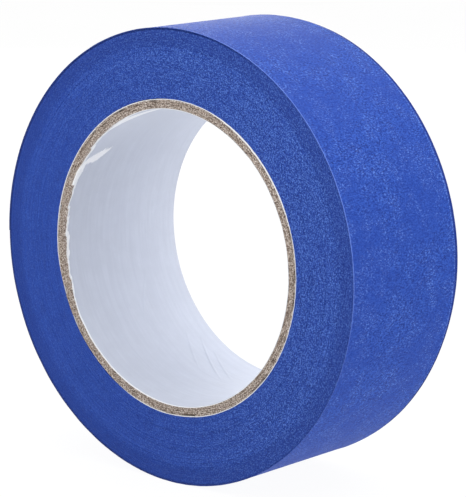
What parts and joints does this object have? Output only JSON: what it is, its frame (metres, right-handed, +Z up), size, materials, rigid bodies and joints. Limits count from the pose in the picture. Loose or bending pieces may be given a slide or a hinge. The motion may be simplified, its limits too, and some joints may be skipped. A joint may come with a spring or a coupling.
{
  "type": "masking tape roll",
  "caption": "Roll of blue crepe paper masking tape wound on a spiral paperboard core with a white liner, with a free end that peels up.",
  "frame": {"origin": "centre of the core's bore, halfway along its length", "axes": "+Y along the bore from the front face to the back face, +Z up as the roll stands on its rim, +X to the right seen from the front"},
  "size_m": [0.117, 0.0428, 0.1169],
  "materials": {
    "crepe_tape": "fine crepe, matte with a slight sheen",
    "white_liner": "smooth, semi-gloss",
    "kraft_board": "raw cut board edge, fibrous",
    "white_ply": "matte"
  },
  "bodies": {
    "roll": {"core_liner": "white_liner", "core_ply_1": "kraft_board", "core_ply_2": "kraft_board", "core_ply_3": "kraft_board", "core_ply_4": "kraft_board", "core_outer_ply": "white_ply", "tape_pack": "crepe_tape", "tape_last_turn": "crepe_tape"},
    "end_1": {"tape_end_1": "crepe_tape"},
    "end_2": {"tape_end_2": "crepe_tape"},
    "end_3": {"tape_end_3": "crepe_tape"},
    "end_4": {"tape_end_4": "crepe_tape"}
  },
  "joints": [
    {"name": "end_bend_1", "type": "hinge", "parent": "roll", "child": "end_1", "pos_m": [-0.03919, 0, 0.04344], "axis": [0, 1, 0], "range_deg": [0, 60]},
    {"name": "end_bend_2", "type": "hinge", "parent": "end_1", "child": "end_2", "pos_m": [-0.04737, 0, 0.03436], "axis": [0, 1, 0], "range_deg": [0, 21]},
    {"name": "end_bend_3", "type": "hinge", "parent": "end_2", "child": "end_3", "pos_m": [-0.05348, 0, 0.02378], "axis": [0, 1, 0], "range_deg": [0, 21]},
    {"name": "end_bend_4", "type": "hinge", "parent": "end_3", "child": "end_4", "pos_m": [-0.05725, 0, 0.01215], "axis": [0, 1, 0], "range_deg": [0, 21]}
  ],
  "couplings": [
    {"joint": "end_bend_2", "follows": "end_bend_1", "ratio": 0.35},
    {"joint": "end_bend_3", "follows": "end_bend_1", "ratio": 0.35},
    {"joint": "end_bend_4", "follows": "end_bend_1", "ratio": 0.35}
  ]
}
